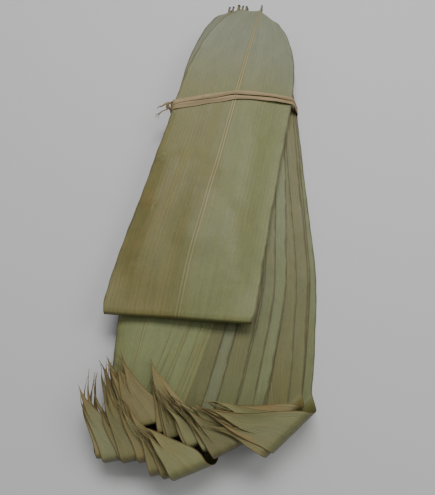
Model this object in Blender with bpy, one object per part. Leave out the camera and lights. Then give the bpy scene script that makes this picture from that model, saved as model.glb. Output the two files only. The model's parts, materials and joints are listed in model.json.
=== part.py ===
"""Bundle of dried bamboo leaves, tied across with a straw strip near the stem end.

The stem ends point to +Y and the bundle lies on Z = 0. The long leaves underneath run the
whole way to -Y, turn up round the end and fan their tips out over themselves. The cover
leaves on top of them are folded under halfway, so that their tips are hidden.

A leaf is laid out flat, folded about its crease, and dropped onto what lies there already.
"""

import math
import random
from typing import NamedTuple

import bpy
import numpy as np

MM = 0.001

# Blades and their cut stem ends
THICKNESS = 0.26 * MM
GAP = 0.26 * MM
STUB_LENGTH = 8.0 * MM
STUB_WIDTH = 2.2 * MM
TIP_WIDTH = 0.8 * MM
BASE_LENGTH = 110.0 * MM    # of the round base, up to the full width
WIDEST = 0.55               # share of the length at which the blade starts to narrow
COVER_WIDEST = 0.7
TAPER = 1.7
SWELL = 0.14                # how much narrower a blade starts out than it becomes

# The arch along which the stem ends lie
ARCH_TOP = 227.0 * MM
ARCH_X = 50.0 * MM
ARCH_DROP = 26.0 * MM
ARCH_HALF = 50.0 * MM

# How much single leaves differ from their group
BUTT_X_SPREAD = 3.0 * MM
BUTT_Y_SPREAD = 4.0 * MM
CREASE_X_SPREAD = 4.0 * MM
LENGTH_SPREAD = 10.0 * MM
HEADING_SPREAD = 7.0        # degrees
WIDTH_SPREAD = 4.0 * MM

# Cover leaves: the wide one on top, then the first and last of those below it
COVER_FOLD_Y = -106.5 * MM
COVER_FOLD_TILT = -4.0      # degrees
COVER_PITCH = 0.62 * MM     # height that one cover leaf adds at the fold
TOP_BUTT_X = 55.0 * MM
TOP_SETBACK = 3.0 * MM
TOP_CREASE_X = -25.0 * MM
TOP_WIDTH = 120.0 * MM
TOP_PAST_CREASE = 112.0 * MM
COVERS_BELOW = 7
COVER_SETBACK = 2.0 * MM
COVER_BUTT_X = (21.0 * MM, 42.0 * MM)
COVER_CREASE_X = (-24.0 * MM, -15.0 * MM)
COVER_WIDTH = (76.0 * MM, 84.0 * MM)
COVER_PAST_CREASE = (140.0 * MM, 125.0 * MM)

# Creases
FLATNESS = 0.42             # how far a fold stands out, over half its height
FOLD_SPAN = 2.0             # stretch of the flat leaf in a fold, over how far it stands out
CREASE_ZONE = 10.0 * MM     # the level stretch on each side of a crease
SLANT_FADE = 60.0 * MM
RESERVE = 32.0 * MM         # kept level past the crease for folds that move out
SIDE_CLEARANCE = 3.0 * MM
NESTING = 0.5 * MM          # how much farther out an outer fold lies
ARC_STEPS = 6
STEEPEST = 0.16             # slope of a leaf that comes down off the pile

# The straw strip, wound twice, and its strands on top as (share of its span, Y)
TIE_WIDTH = 5.4 * MM
TIE_THICKNESS = 0.8 * MM
TIE_ROOM = 1.0 * MM
TIE_CORNER = 4.0 * MM
TIE_CORNER_STEPS = 3
TIE_RUN_STEPS = (5, 1, 4, 1)    # between the points on top, +X side, underside, -X side
TIE_OPEN = 1 / 8                # share of the second turn that the strip stops short of
TIE_BAND = (84.0 * MM, 108.0 * MM)
TIE_GROUND = (-50.0 * MM, 92.0 * MM)
LOWER_STRAND = ((0.0, 86.0 * MM), (0.3, 92.0 * MM), (0.52, 97.0 * MM), (1.0, 94.5 * MM))
UPPER_STRAND = ((0.0, 93.6 * MM), (0.3, 99.5 * MM), (0.52, 104.4 * MM), (1.0, 100.6 * MM))
TIE_END_Y = 99.8 * MM

# The height map of the pile
CELL = 1.5 * MM
GRID_HALF_X = 135.0 * MM
GRID_HALF_Y = 250.0 * MM
FILL = 1.6                  # samples per cell, so that a strip leaves no cell out

# Where a leaf has cross lines: shares of its round base, of its flat part, and of its tip
BASE_SHARES = (0.04, 0.14, 0.36, 0.7, 1.0)
MIDDLE_SHARES = (0.3, 0.6, 0.85)
TIP_SHARES = (0.35, 0.6, 0.82, 1.0)

OLIVES = (
    (0.165, 0.168, 0.090),
    (0.190, 0.195, 0.108),
    (0.150, 0.148, 0.075),
    (0.205, 0.205, 0.125),
    (0.160, 0.140, 0.070),
)
STRAW = (0.31, 0.23, 0.135)
DULL = 0.55                 # roughness


class Group(NamedTuple):
    """A share of the long leaves; pairs hold the values of its first and its last leaf.

    butt_x, crease_x and crease_y place the stem ends and the creases, past_crease is the
    length past the crease, all in millimetres, and heading is that of the tips in degrees.
    """

    count: int
    butt_x: tuple
    crease_x: tuple
    crease_y: tuple
    heading: tuple
    past_crease: tuple
    width: tuple


GROUPS = (
    Group(8, (18, 34), (-60, -38), (-178, -182), (116, 128), (44, 58), (60, 76)),
    Group(8, (26, 44), (-24, 23), (-186, -194), (122, 146), (58, 60), (68, 80)),
    Group(7, (48, 56), (50, 59), (-176, -171), (160, 166), (72, 84), (60, 68)),
    Group(9, (18, 44), (-66, -10), (-200, -194), (112, 134), (72, 66), (58, 78)),
)


def clear_scene():
    for item in list(bpy.data.objects):
        bpy.data.objects.remove(item, do_unlink=True)


def heading(degrees):
    return np.array([math.cos(math.radians(degrees)), math.sin(math.radians(degrees))])


def unit(vector):
    return vector / np.linalg.norm(vector)


def between(pair, share):
    return pair[0] + (pair[1] - pair[0]) * share


class Leaf:
    """One leaf: its outline, its crease, and its height at each cross line.

    butt is the cut stem end and crease a point of the axis, both in plan. back is the
    direction that the folded end points in. turn is 1 for a leaf folded over and -1 for
    one folded under.
    """

    def __init__(self, name, butt, crease, back, length, width, widest, turn, colour):
        self.name = name
        self.butt = np.array(butt)
        self.length = length
        self.width = width
        self.widest = widest
        self.turn = turn
        self.colour = colour
        self.axis = unit(np.array(crease) - self.butt)
        self.side = np.array([-self.axis[1], self.axis[0]])
        self.crease_at = np.linalg.norm(np.array(crease) - self.butt)
        self.out = unit(self.axis - heading(back))
        self.along = np.array([-self.out[1], self.out[0]])
        self.skew = (self.along @ self.axis) / (self.along @ self.side)
        self.set_fold(0.0)

    def set_fold(self, bulge, rise=None):
        """bulge is how far the fold stands out, and rise half the height that it climbs."""
        rise = bulge / FLATNESS if rise is None else rise
        self.bulge = bulge
        self.rise = rise
        self.arc = FOLD_SPAN * bulge
        self.arc_end = self.crease_at + self.arc / (self.axis @ self.out)

    def crease_point(self):
        return self.butt + self.axis * self.crease_at

    def half_width(self, u):
        if u <= STUB_LENGTH:
            return STUB_WIDTH / 2
        base = min((u - STUB_LENGTH) / BASE_LENGTH, 1.0)
        past = max((u / self.length - self.widest) / (1 - self.widest), 0.0)
        swell = 1 - SWELL * max(1 - (u / (self.widest * self.length)) ** 2, 0.0)
        half = self.width / 2 * math.sqrt(1 - (1 - base) ** 2) * swell * (1 - past**TAPER)
        return max(half, TIP_WIDTH / 2)

    def slant(self, u):
        """1 where the cross lines run along the crease, 0 where they are square."""
        before = self.crease_at - CREASE_ZONE - u
        after = u - self.arc_end - CREASE_ZONE
        return min(max(1 - max(before, after) / SLANT_FADE, 0.0), 1.0)

    def ends(self, u):
        """The two ends of the cross line at u, on the flat leaf."""
        lean = self.skew * self.slant(u)
        found = []
        for sign in (1, -1):
            v = self.half_width(u)
            for _ in range(12):
                v = self.half_width(min(max(u + sign * v * lean, 0.0), self.length))
            found.append(self.butt + self.axis * (u + sign * v * lean) + self.side * sign * v)
        return found

    def folded(self, point):
        """Where a point of the flat leaf lies in plan once the leaf is folded."""
        past = (point - self.crease_point()) @ self.out
        if past <= 0:
            return point
        if past >= self.arc:
            return point - self.out * (2 * past - self.arc)
        reach = self.bulge * math.sin(math.pi * past / self.arc)
        return point + self.out * (reach - past)

    def at_crease(self, past):
        """The axis position whose cross line runs past the crease by this much."""
        return self.crease_at + past / (self.axis @ self.out)

    def near_lines(self):
        """Axis positions from the stem end to the crease."""
        found = [0.0, STUB_LENGTH]
        found += [STUB_LENGTH + BASE_LENGTH * share for share in BASE_SHARES]
        last = self.at_crease(-CREASE_ZONE)
        found += [between((found[-1], last), share) for share in MIDDLE_SHARES]
        return [*found, last, self.crease_at]

    def far_lines(self):
        """Axis positions from the end of the fold to the tip."""
        first = self.at_crease(self.arc + CREASE_ZONE)
        rest = [between((first, self.length), share) for share in TIP_SHARES]
        return [self.arc_end, first, *rest]

    def crease_ends(self):
        """The ends of the line that the leaf folds about, as far as the fold shifts along it."""
        places = [*self.ends(self.crease_at), *turned_lines(self, [self.arc_end])[0]]
        places.sort(key=lambda place: place @ self.along)
        return places[0], places[-1]

    def spans(self, point):
        """Whether a point lies in the strip that this leaf covers at its crease."""
        first, second = self.crease_ends()
        low, high = sorted(((first - point) @ self.along, (second - point) @ self.along))
        return low - SIDE_CLEARANCE < 0 < high + SIDE_CLEARANCE


class Pile:
    """The height reached so far above each cell of the surface."""

    def __init__(self):
        self.top = np.zeros((int(2 * GRID_HALF_X / CELL), int(2 * GRID_HALF_Y / CELL)))

    def cells(self, points):
        x = (points[..., 0] + GRID_HALF_X) / CELL
        y = (points[..., 1] + GRID_HALF_Y) / CELL
        return x.astype(int), y.astype(int)

    def strips(self, lines):
        """For each pair of cross lines, the cells between and the share along of each."""
        for (a, b), (c, d) in zip(lines[:-1], lines[1:], strict=True):
            steps = int(max(np.linalg.norm(c - a), np.linalg.norm(d - b)) / CELL * FILL) + 2
            wide = int(max(np.linalg.norm(b - a), np.linalg.norm(d - c)) / CELL * FILL) + 2
            share, across = np.meshgrid(
                np.linspace(0, 1, steps), np.linspace(0, 1, wide), indexing="ij"
            )
            share = share[..., None]
            across = across[..., None]
            points = (a + (b - a) * across) * (1 - share) + (c + (d - c) * across) * share
            yield self.cells(points), share[..., 0]

    def rest(self, lines, level):
        """The height of each cross line when the strip lies on the pile.

        level names the lines that share one height, next to the crease.
        """
        heights = np.zeros(len(lines))
        found = [(share, self.support(cells)) for cells, share in self.strips(lines)]
        for i, (share, support) in enumerate(found):
            heights[i] = max(heights[i], support[share <= 0.5].max())
            heights[i + 1] = max(heights[i + 1], support[share >= 0.5].max())
        for i, (share, support) in enumerate(found):
            short = support - heights[i] * (1 - share) - heights[i + 1] * share
            heights[i : i + 2] += max(short.max(), 0.0)
        middles = np.array([(a + b) / 2 for a, b in lines])
        for i, place in enumerate(middles):
            away = np.linalg.norm(middles - place, axis=1)
            heights[i] = max(heights[i], (heights - away * STEEPEST).max())
        heights[level] = heights[level].max()
        return heights

    def support(self, cells):
        top = self.top[cells]
        return np.where(top > 0, top + GAP, 0.0)

    def cover(self, lines, heights):
        """Adds a strip whose lower side has these heights at its cross lines."""
        laid = np.zeros_like(self.top)
        for i, (cells, share) in enumerate(self.strips(lines)):
            upper = heights[i] * (1 - share) + heights[i + 1] * share + THICKNESS
            np.maximum.at(laid, cells, upper)
        for axis in (0, 1):
            laid = np.maximum(laid, np.maximum(np.roll(laid, 1, axis), np.roll(laid, -1, axis)))
        self.top = np.maximum(self.top, laid)


def arch(x):
    """Y of a stem end."""
    return ARCH_TOP - ARCH_DROP * ((x - ARCH_X) / ARCH_HALF) ** 2


def long_leaves():
    """The leaves that turn up round the end, from the innermost fold to the outermost."""
    chance = random.Random(7)

    def spread(reach):
        return chance.uniform(-reach, reach)

    found = []
    for group in GROUPS:
        for i in range(group.count):
            share = i / (group.count - 1)
            butt_x = between(group.butt_x, share) * MM + spread(BUTT_X_SPREAD)
            crease_x = between(group.crease_x, share) * MM + spread(CREASE_X_SPREAD)
            back = between(group.heading, share) + spread(HEADING_SPREAD)
            butt = (butt_x, arch(butt_x) - chance.uniform(0, BUTT_Y_SPREAD))
            crease = (crease_x, between(group.crease_y, share) * MM)
            past_crease = between(group.past_crease, share) * MM + spread(LENGTH_SPREAD)
            length = math.dist(butt, crease) + past_crease
            width = between(group.width, share) * MM + spread(WIDTH_SPREAD)
            colour = OLIVES[chance.randrange(len(OLIVES))]
            name = f"long_leaf_{len(found) + 1:02d}"
            found.append(Leaf(name, butt, crease, back, length, width, WIDEST, 1, colour))
    return found


def cover_leaves():
    """The leaves on top, from the outermost fold to the innermost."""
    chance = random.Random(11)
    top_y = arch(TOP_BUTT_X) - TOP_SETBACK
    rows = [(TOP_BUTT_X, top_y, TOP_CREASE_X, TOP_WIDTH, TOP_PAST_CREASE)]
    for i in range(COVERS_BELOW):
        share = i / (COVERS_BELOW - 1)
        butt_x = between(COVER_BUTT_X, share) + chance.uniform(-BUTT_X_SPREAD, BUTT_X_SPREAD)
        rows.append(
            (
                butt_x,
                arch(butt_x) - COVER_SETBACK,
                between(COVER_CREASE_X, share),
                between(COVER_WIDTH, share),
                between(COVER_PAST_CREASE, share),
            )
        )
    found = []
    for i, (butt_x, butt_y, crease_x, width, past_crease) in enumerate(rows):
        lean = math.degrees(math.atan2(COVER_FOLD_Y - butt_y, crease_x - butt_x))
        butt = (butt_x, butt_y)
        crease = (crease_x, COVER_FOLD_Y)
        length = math.dist(butt, crease) + past_crease
        back = 2 * COVER_FOLD_TILT - lean
        colour = OLIVES[i % len(OLIVES)]
        name = f"cover_leaf_{i + 1:02d}"
        found.append(Leaf(name, butt, crease, back, length, width, COVER_WIDEST, -1, colour))
    return found


def overshoot(inner, outer):
    """How far the inner leaf reaches past the outer one's crease, where both lie."""
    worst = -math.inf
    folded_part = [point for line in turned_lines(inner, inner.far_lines()) for point in line]
    for point in (*inner.crease_ends(), *folded_part):
        if outer.spans(point):
            worst = max(worst, (point - outer.crease_point()) @ outer.out)
    for point in outer.crease_ends():
        if inner.spans(point):
            worst = max(worst, (inner.crease_point() - point) @ inner.out)
    return worst


def flat_lines(leaf):
    """The cross lines up to the crease, with one more on ground kept for the fold."""
    return [leaf.ends(u) for u in (*leaf.near_lines(), leaf.at_crease(RESERVE))]


def turned_lines(leaf, positions):
    return [[leaf.folded(point) for point in leaf.ends(u)] for u in positions]


def lay_long_leaves(pile, leaves):
    """Lays the flat parts from the lowest up, then the folds from the innermost out."""
    for leaf in reversed(leaves):
        lines = flat_lines(leaf)
        heights = pile.rest(lines, slice(-3, None))
        pile.cover(lines, heights)
        leaf.near_heights = heights[:-1]
    for k, leaf in enumerate(leaves):
        gone = max([overshoot(inner, leaf) for inner in leaves[:k]], default=0.0)
        if gone > 0:
            leaf.crease_at += (gone + NESTING) / (leaf.axis @ leaf.out)
        for _ in range(4):
            leaf.set_fold(leaf.rise * FLATNESS)
            positions = [leaf.at_crease(leaf.arc / 2), *leaf.far_lines()]
            lines = turned_lines(leaf, positions)
            heights = pile.rest(lines, slice(0, 3))
            leaf.rise = (heights[0] - leaf.near_heights[-1]) / 2
        pile.cover(lines, heights)
        leaf.far_heights = heights[1:]


def lay_cover_leaves(pile, leaves):
    """Lays the hidden ends from the outermost up, then the upper parts back over them."""
    for k, leaf in enumerate(leaves):
        gone = max([overshoot(leaf, outer) for outer in leaves[:k]], default=0.0)
        if gone > 0:
            leaf.crease_at -= gone / (leaf.axis @ leaf.out)
        leaf.set_fold((len(leaves) - k - 0.5) * COVER_PITCH * FLATNESS)
        lines = turned_lines(leaf, [leaf.at_crease(leaf.arc / 2), *leaf.far_lines()])
        heights = pile.rest(lines, slice(0, 3))
        pile.cover(lines, heights)
        leaf.far_heights = heights[1:]
    for leaf in reversed(leaves):
        bulge = [point + leaf.out * leaf.bulge for point in leaf.ends(leaf.crease_at)]
        lines = [leaf.ends(u) for u in leaf.near_lines()] + [bulge]
        heights = pile.rest(lines, slice(-3, None))
        pile.cover(lines, heights)
        leaf.near_heights = heights[:-1]
        leaf.rise = (leaf.near_heights[-1] - leaf.far_heights[0]) / 2


def strip_solid(name, sections, colour):
    """A closed strip through four-cornered sections, capped at both ends.

    The object's origin is the middle of its first section. Opposite sides are split along
    the same diagonal, so that a twisted stretch keeps its thickness.
    """
    start = sum(sections[0]) / 4
    points = [tuple(map(float, corner - start)) for section in sections for corner in section]
    faces = [(3, 2, 1, 0)]
    for i in range(len(sections) - 1):
        near = 4 * i
        for j in range(4):
            k = (j + 1) % 4
            a, b, c, d = near + j, near + k, near + 4 + k, near + 4 + j
            faces += [(a, b, c), (a, c, d)] if j < 2 else [(a, b, d), (b, c, d)]
    last = 4 * (len(sections) - 1)
    faces.append((last, last + 1, last + 2, last + 3))
    mesh = bpy.data.meshes.new(name)
    mesh.from_pydata(points, [], faces)
    mesh.validate()
    mesh.materials.append(finish(name, colour))
    item = bpy.data.objects.new(name, mesh)
    item.location = tuple(map(float, start))
    bpy.context.collection.objects.link(item)


def finish(name, colour):
    material = bpy.data.materials.new(name)
    material.use_nodes = True
    shader = material.node_tree.nodes["Principled BSDF"]
    shader.inputs["Base Color"].default_value = (*colour, 1.0)
    shader.inputs["Roughness"].default_value = DULL
    shader.inputs["Metallic"].default_value = 0.0
    return material


def leaf_sections(leaf):
    """The four corners of the blade at each cross line, from the stem end to the tip."""
    rows = []
    for u, height in zip(leaf.near_lines(), leaf.near_heights, strict=True):
        rows.append((leaf.ends(u), height, 0.0))
    for step in range(1, ARC_STEPS):
        past = leaf.arc * step / ARC_STEPS
        angle = math.pi * step / ARC_STEPS
        height = leaf.near_heights[-1] + leaf.turn * leaf.rise * (1 - math.cos(angle))
        rows.append((turned_lines(leaf, [leaf.at_crease(past)])[0], height, angle))
    for u, height in zip(leaf.far_lines(), leaf.far_heights, strict=True):
        rows.append((turned_lines(leaf, [u])[0], height, math.pi))
    sections = []
    for (left, right), height, angle in rows:
        flat = leaf.out * math.sin(angle)
        outward = np.array([*flat, -leaf.turn * math.cos(angle)]) * THICKNESS / 2
        a = np.array([*left, height + THICKNESS / 2])
        b = np.array([*right, height + THICKNESS / 2])
        corners = (a + outward, b + outward, b - outward, a - outward)
        sections.append(corners if leaf.turn < 0 else corners[::-1])
    return sections


def tie_span(pile):
    """The lowest X, the highest X and the highest Z of the strip's middle line."""
    rows = slice(*(int((y + GRID_HALF_Y) / CELL) for y in TIE_BAND))
    heights = pile.top[:, rows].max(axis=1)
    held = np.nonzero(heights > 2 * TIE_THICKNESS)[0]
    left = held[0] * CELL - GRID_HALF_X - TIE_ROOM
    right = (held[-1] + 1) * CELL - GRID_HALF_X + TIE_ROOM
    return left, right, heights.max() + TIE_ROOM + TIE_THICKNESS / 2


def tie_sections(pile):
    """The straw strip: from the upper -X corner over the top and back below, twice."""
    left, right, top = tie_span(pile)
    loop = tie_loop(left, right, TIE_THICKNESS / 2, top)
    sections = []
    for strand, end_y in ((LOWER_STRAND, UPPER_STRAND[0][1]), (UPPER_STRAND, TIE_END_Y)):
        below = False
        for x, z, normal in loop:
            share = (x - left) / (right - left)
            below = below or normal[1] < -0.99
            if below:
                y = between((end_y, strand[-1][1]), share)
            else:
                y = float(np.interp(share, *zip(*strand, strict=True)))
            middle = np.array([x, y, z])
            out = np.array([normal[0], 0.0, normal[1]]) * TIE_THICKNESS / 2
            wide = np.array([0.0, TIE_WIDTH / 2, 0.0])
            sections.append(
                (middle + out + wide, middle + out - wide, middle - out - wide, middle - out + wide)
            )
    return sections[: -int(len(loop) * TIE_OPEN)]


def tie_loop(left, right, low, top):
    """(x, z, outward normal) round a rounded box, from its upper -X corner over the top."""
    r = TIE_CORNER
    corners = (
        (left + r, top - r, 180, 90),
        (right - r, top - r, 90, 0),
        (right - r, low + r, 0, -90),
        (left + r, low + r, -90, -180),
    )
    found = []
    for i, (cx, cz, start, end) in enumerate(corners):
        for step in range(TIE_CORNER_STEPS + 1):
            normal = heading(between((start, end), step / TIE_CORNER_STEPS))
            found.append((cx + r * normal[0], cz + r * normal[1], normal))
        following = corners[(i + 1) % len(corners)]
        first = np.array([cx, cz]) + r * normal
        last = np.array(following[:2]) + r * normal
        for step in range(1, TIE_RUN_STEPS[i] + 1):
            place = between((first, last), step / (TIE_RUN_STEPS[i] + 1))
            found.append((*place, normal))
    return found


def tie_ground():
    """Plan outline of the strip's underside, as two cross lines."""
    return [[np.array([x, y]) for x in TIE_GROUND] for y in TIE_BAND]


def main():
    clear_scene()
    pile = Pile()
    pile.cover(tie_ground(), np.full(2, TIE_THICKNESS - THICKNESS))
    long_ones = long_leaves()
    covers = cover_leaves()
    lay_long_leaves(pile, long_ones)
    lay_cover_leaves(pile, covers)
    solids = [(leaf.name, leaf_sections(leaf), leaf.colour) for leaf in long_ones + covers]
    solids.append(("tie_strip", tie_sections(pile), STRAW))
    points = np.array([corner for _, sections, _ in solids for s in sections for corner in s])
    low = points.min(axis=0)
    high = points.max(axis=0)
    middle = np.array([(low[0] + high[0]) / 2, (low[1] + high[1]) / 2, low[2]])
    for name, sections, colour in solids:
        strip_solid(name, [[corner - middle for corner in s] for s in sections], colour)


main()
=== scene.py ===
"""Bundle of dried bamboo leaves: every leaf and the straw tie rebuilt in detail over the frame.

A leaf of the frame is a plain folded strip. Here its cross lines are read back from its
solid, joined by smooth curves, and the sheet between them is laid down again on the leaves
below it, with ribs, pleats, wavy margins and curled tips.
"""

import json
import math
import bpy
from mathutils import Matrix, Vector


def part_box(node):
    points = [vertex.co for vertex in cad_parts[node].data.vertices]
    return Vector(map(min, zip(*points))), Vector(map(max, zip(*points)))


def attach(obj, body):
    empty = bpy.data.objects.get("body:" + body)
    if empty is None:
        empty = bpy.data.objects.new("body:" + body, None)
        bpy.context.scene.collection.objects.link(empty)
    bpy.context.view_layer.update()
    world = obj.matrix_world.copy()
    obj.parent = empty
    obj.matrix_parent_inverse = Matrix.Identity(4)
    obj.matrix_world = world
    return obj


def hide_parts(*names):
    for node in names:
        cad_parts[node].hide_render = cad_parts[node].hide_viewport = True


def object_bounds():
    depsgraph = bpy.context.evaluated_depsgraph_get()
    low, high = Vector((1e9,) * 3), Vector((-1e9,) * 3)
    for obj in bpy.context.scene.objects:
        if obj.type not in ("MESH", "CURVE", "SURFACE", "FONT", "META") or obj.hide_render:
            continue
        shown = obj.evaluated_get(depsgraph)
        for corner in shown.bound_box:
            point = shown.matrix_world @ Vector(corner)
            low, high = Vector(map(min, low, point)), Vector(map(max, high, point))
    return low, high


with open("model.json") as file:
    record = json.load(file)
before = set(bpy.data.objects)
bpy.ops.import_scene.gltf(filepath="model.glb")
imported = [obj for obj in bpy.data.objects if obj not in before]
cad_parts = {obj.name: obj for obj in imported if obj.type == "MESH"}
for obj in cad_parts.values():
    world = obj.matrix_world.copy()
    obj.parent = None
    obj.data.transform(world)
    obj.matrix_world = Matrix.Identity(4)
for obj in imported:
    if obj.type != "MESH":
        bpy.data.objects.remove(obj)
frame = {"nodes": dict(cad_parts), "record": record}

from types import SimpleNamespace

import bmesh
import bpy
import numpy as np

cad_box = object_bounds()
MM = 0.001
FULL_TURN = 2 * math.pi

# Cross lines of a leaf in the frame: up to its crease, and round the fold
NEAR_LINES = 12
ARC_LINES = 5
WIDE_LINES = slice(3, 8)    # those among which a leaf is widest
WELD = 2e-6                 # corners closer than this are one

# Rows of points along a leaf, on its blades and round its fold
ROW_SPACING = 3.4 * MM
ARC_SPACING = 1.6 * MM
MOST_ARC_ROWS = 4           # between two cross lines

# Section of a leaf
BLADE = 0.26 * MM           # thickness
RIB = 0.34 * MM             # how far the midrib stands out on each side
RIB_HALF = 0.9 * MM

# Outline of a leaf
MARGIN_WAVES = (0.003, 0.008, 0.021)
ROLL_ZONE = (2 * MM, 38 * MM)       # past the fold, where the rolling sets in
TIP_ROLL = 0.35             # how much narrower the last third gets
TUCKED_ROLL = 0.3           # share of the rolling that a folded-under end keeps
OVERLAP_ZONE = (-4 * MM, 12 * MM)   # past the fold, where the overlap sets in
BEND = 5.0                  # sideways at the tip, in millimetres
SWAY = 1.2                  # sideways waves, in millimetres
SWAYS = 9                   # radians of them

# Relief of a leaf; pleats as (radians over half the width, height in millimetres)
PLEATS = ((4.0, 0.45), (7.5, 0.30), (13.0, 0.20), (21.0, 0.12))
RELIEF_ZONE = (6 * MM, 40 * MM)     # distance from the fold over which the relief sets in
GROOVE_HALF = 0.16          # of the groove along the midrib, over half the width
WAVE_LENGTH = 0.021
RIPPLE_LENGTH = 0.0065
RIPPLE_SHIFT = 1.7          # between the ripples of the two margins
FLUSH_LIFT = 0.1            # share of its lift that a flush leaf's margin keeps
CURL_START = 8 * MM         # past the fold
GATHERS = (9.0, 15.0)       # radians over half the width, of the folds at the tip

# Laying a leaf on the pile
CLEAR = 0.10 * MM
MOST_SAG = 14 * MM
NEAR_SAG = 0.25             # share of the room below it by which a midrib sinks
FAR_SAG = 0.35
MARGIN_SAG = 0.85
LOOSE = 50 * MM             # distance from the fold at which a leaf sags freely
ROUNDS = 24                 # of smoothing
PULL = 0.06                 # back towards the unsmoothed height, in each round
COVER_REACH = 2             # cells looked round for the pile's height
LONG_REACH = 1

# The height map of the pile
CELL = 1.0 * MM
MARGIN = 20 * MM
FILL = 6                    # samples between two points of a leaf
TIE_ROOM = 1.3 * MM         # for the strip below the pile

# Split tips
WHOLE_CHANCE = 0.15
TWO_STRIPS_CHANCE = 0.4
SHORTEST_STRIP = 6          # rows
FADE_ROWS = 4               # over which a strip gets margins of its own
THINNER = 0.97              # strips start inside the sheet they split from
SHARPEST = 0.02             # width left at the very tip
SPREADING = 3.5             # how far the strips at the sides spread, in millimetres

# The straw tie: a flat strip wound twice and knotted at the -X side
STRAW_HALF = 2.4 * MM
STRAW_CROWN = 0.42 * MM
STRAW_UNDER = 0.22 * MM
STRAW_GAP = 0.35 * MM       # off the leaves
STRAW_ROWS = 1674           # of points along the wound strip
STRANDS_CLOSER = 0.13       # share of their distance by which the strands close up
SIDE_RISE = 3.5 * MM        # of the strip towards the +X side
SIDE_ZONE = (0.6, 0.95)     # shares of its span over which it rises
STRAW_ZONE = 3 * MM         # beside the strip, where leaves still hold it
LOOP_STEP = 0.5 * MM        # of the line round the leaves
LOOP_BLUR = 40              # rounds
TIE_WIDE = 6.5 * MM         # more than one width of the strip in the frame
TIE_THICK = 2 * MM          # more than its thickness

# Relief of the straw
STRAW_COLUMNS = 17
STRAW_WAVES = (0.006, 0.017, 0.04)      # of its width, along it
TILT_LENGTH = 0.023
STRAW_RIBS = (7.0, 13.0, 22.0)
RIB_DRIFT = 9
SKIN = 0.02 * MM            # half the thickness left at its edges


def smoothstep(low, high, value):
    share = np.clip((value - low) / (high - low), 0.0, 1.0)
    return share * share * (3 - 2 * share)


def any_phase(chance):
    """Where a wave starts, in radians."""
    return chance.uniform(0, 6.3)


def hermite(knots, values, at, held):
    """Smooth curve through values at the knots; a held one never runs past its values."""
    gap = np.diff(knots)[:, None]
    slope = np.diff(values, axis=0) / gap
    tangent = np.empty_like(values)
    tangent[0] = slope[0]
    tangent[-1] = slope[-1]
    tangent[1:-1] = (slope[:-1] * gap[1:] + slope[1:] * gap[:-1]) / (gap[:-1] + gap[1:])
    if held:
        least = 3 * np.minimum(np.abs(slope[:-1]), np.abs(slope[1:]))
        turning = slope[:-1] * slope[1:] <= 0
        tangent[1:-1] = np.where(turning, 0.0, np.clip(tangent[1:-1], -least, least))
    i = np.clip(np.searchsorted(knots, at, side="right") - 1, 0, len(knots) - 2)
    h = gap[i]
    x = ((at - knots[i]) / gap[i, 0])[:, None]
    return (
        values[i] * (1 + 2 * x) * (1 - x) ** 2
        + tangent[i] * h * x * (1 - x) ** 2
        + values[i + 1] * x * x * (3 - 2 * x)
        + tangent[i + 1] * h * x * x * (x - 1)
    )


def rings(name, is_first):
    """The four corners of each section of a strip of the frame, from its first end on."""
    bm = bmesh.new()
    bm.from_mesh(frame["nodes"][name].data)
    bmesh.ops.remove_doubles(bm, verts=bm.verts, dist=WELD)
    ring = set(is_first(bm.verts))
    seen = set(ring)
    found = []
    while ring:
        found.append(np.array(sorted(tuple(v.co) for v in ring)))
        ring = {e.other_vert(v) for v in ring for e in v.link_edges} - seen
        seen |= ring
    bm.free()
    return found


def paired(ring):
    """Middles of the two short sides of a section."""
    near = 1 + int(np.argmin(np.linalg.norm(ring[1:] - ring[0], axis=1)))
    others = [i for i in (1, 2, 3) if i != near]
    return (ring[0] + ring[near]) / 2, (ring[others[0]] + ring[others[1]]) / 2


def leaf_edges(name):
    """The leaf's two edges as arrays of points, from the stem end to the tip."""
    right = []
    left = []
    for ring in rings(name, lambda verts: sorted(verts, key=lambda v: -v.co.y)[:4]):
        a, b = paired(ring)
        if not right:
            keep = a[0] > b[0]
        else:
            straight = np.linalg.norm(a - right[-1]) + np.linalg.norm(b - left[-1])
            crossed = np.linalg.norm(b - right[-1]) + np.linalg.norm(a - left[-1])
            keep = straight < crossed
        right.append(a if keep else b)
        left.append(b if keep else a)
    return np.array(right), np.array(left)


class Pile:
    """The height reached so far above each cell of the surface."""

    def __init__(self, low, high):
        self.low = np.array(low[:2]) - MARGIN
        size = (np.array(high[:2]) + MARGIN - self.low) / CELL
        self.top = np.zeros((int(size[0]) + 2, int(size[1]) + 2))

    def cells(self, xy):
        place = ((xy - self.low) / CELL).astype(int)
        limit = np.array(self.top.shape) - 1
        place = np.clip(place, 0, limit)
        return place[..., 0], place[..., 1]

    def under(self, xy, reach):
        """The highest that the pile reaches within so many cells of each point."""
        wide = self.top
        for axis in (0, 1) * reach:
            wide = np.maximum(wide, np.maximum(np.roll(wide, 1, axis), np.roll(wide, -1, axis)))
        return wide[self.cells(xy)]

    def add(self, xy, upper):
        """Adds a sheet with this upper side, given on a grid of points."""
        rows = np.linspace(0, len(xy) - 1, (len(xy) - 1) * FILL + 1)
        cols = np.linspace(0, xy.shape[1] - 1, (xy.shape[1] - 1) * FILL + 1)
        grid = np.concatenate([xy, upper[..., None]], axis=2)
        i = np.minimum(rows.astype(int), len(xy) - 2)
        j = np.minimum(cols.astype(int), xy.shape[1] - 2)
        a = (rows - i)[:, None, None]
        b = (cols - j)[None, :, None]
        fine = grid[i] * (1 - a) + grid[i + 1] * a
        fine = fine[:, j] * (1 - b) + fine[:, j + 1] * b
        np.maximum.at(self.top, self.cells(fine[..., :2]), fine[..., 2])


# Places across a leaf, closer together at the midrib
ACROSS = np.concatenate(
    [np.linspace(1, 0.05, 11), [0.022, 0.0, -0.022], np.linspace(-0.05, -1, 11)]
)


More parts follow.
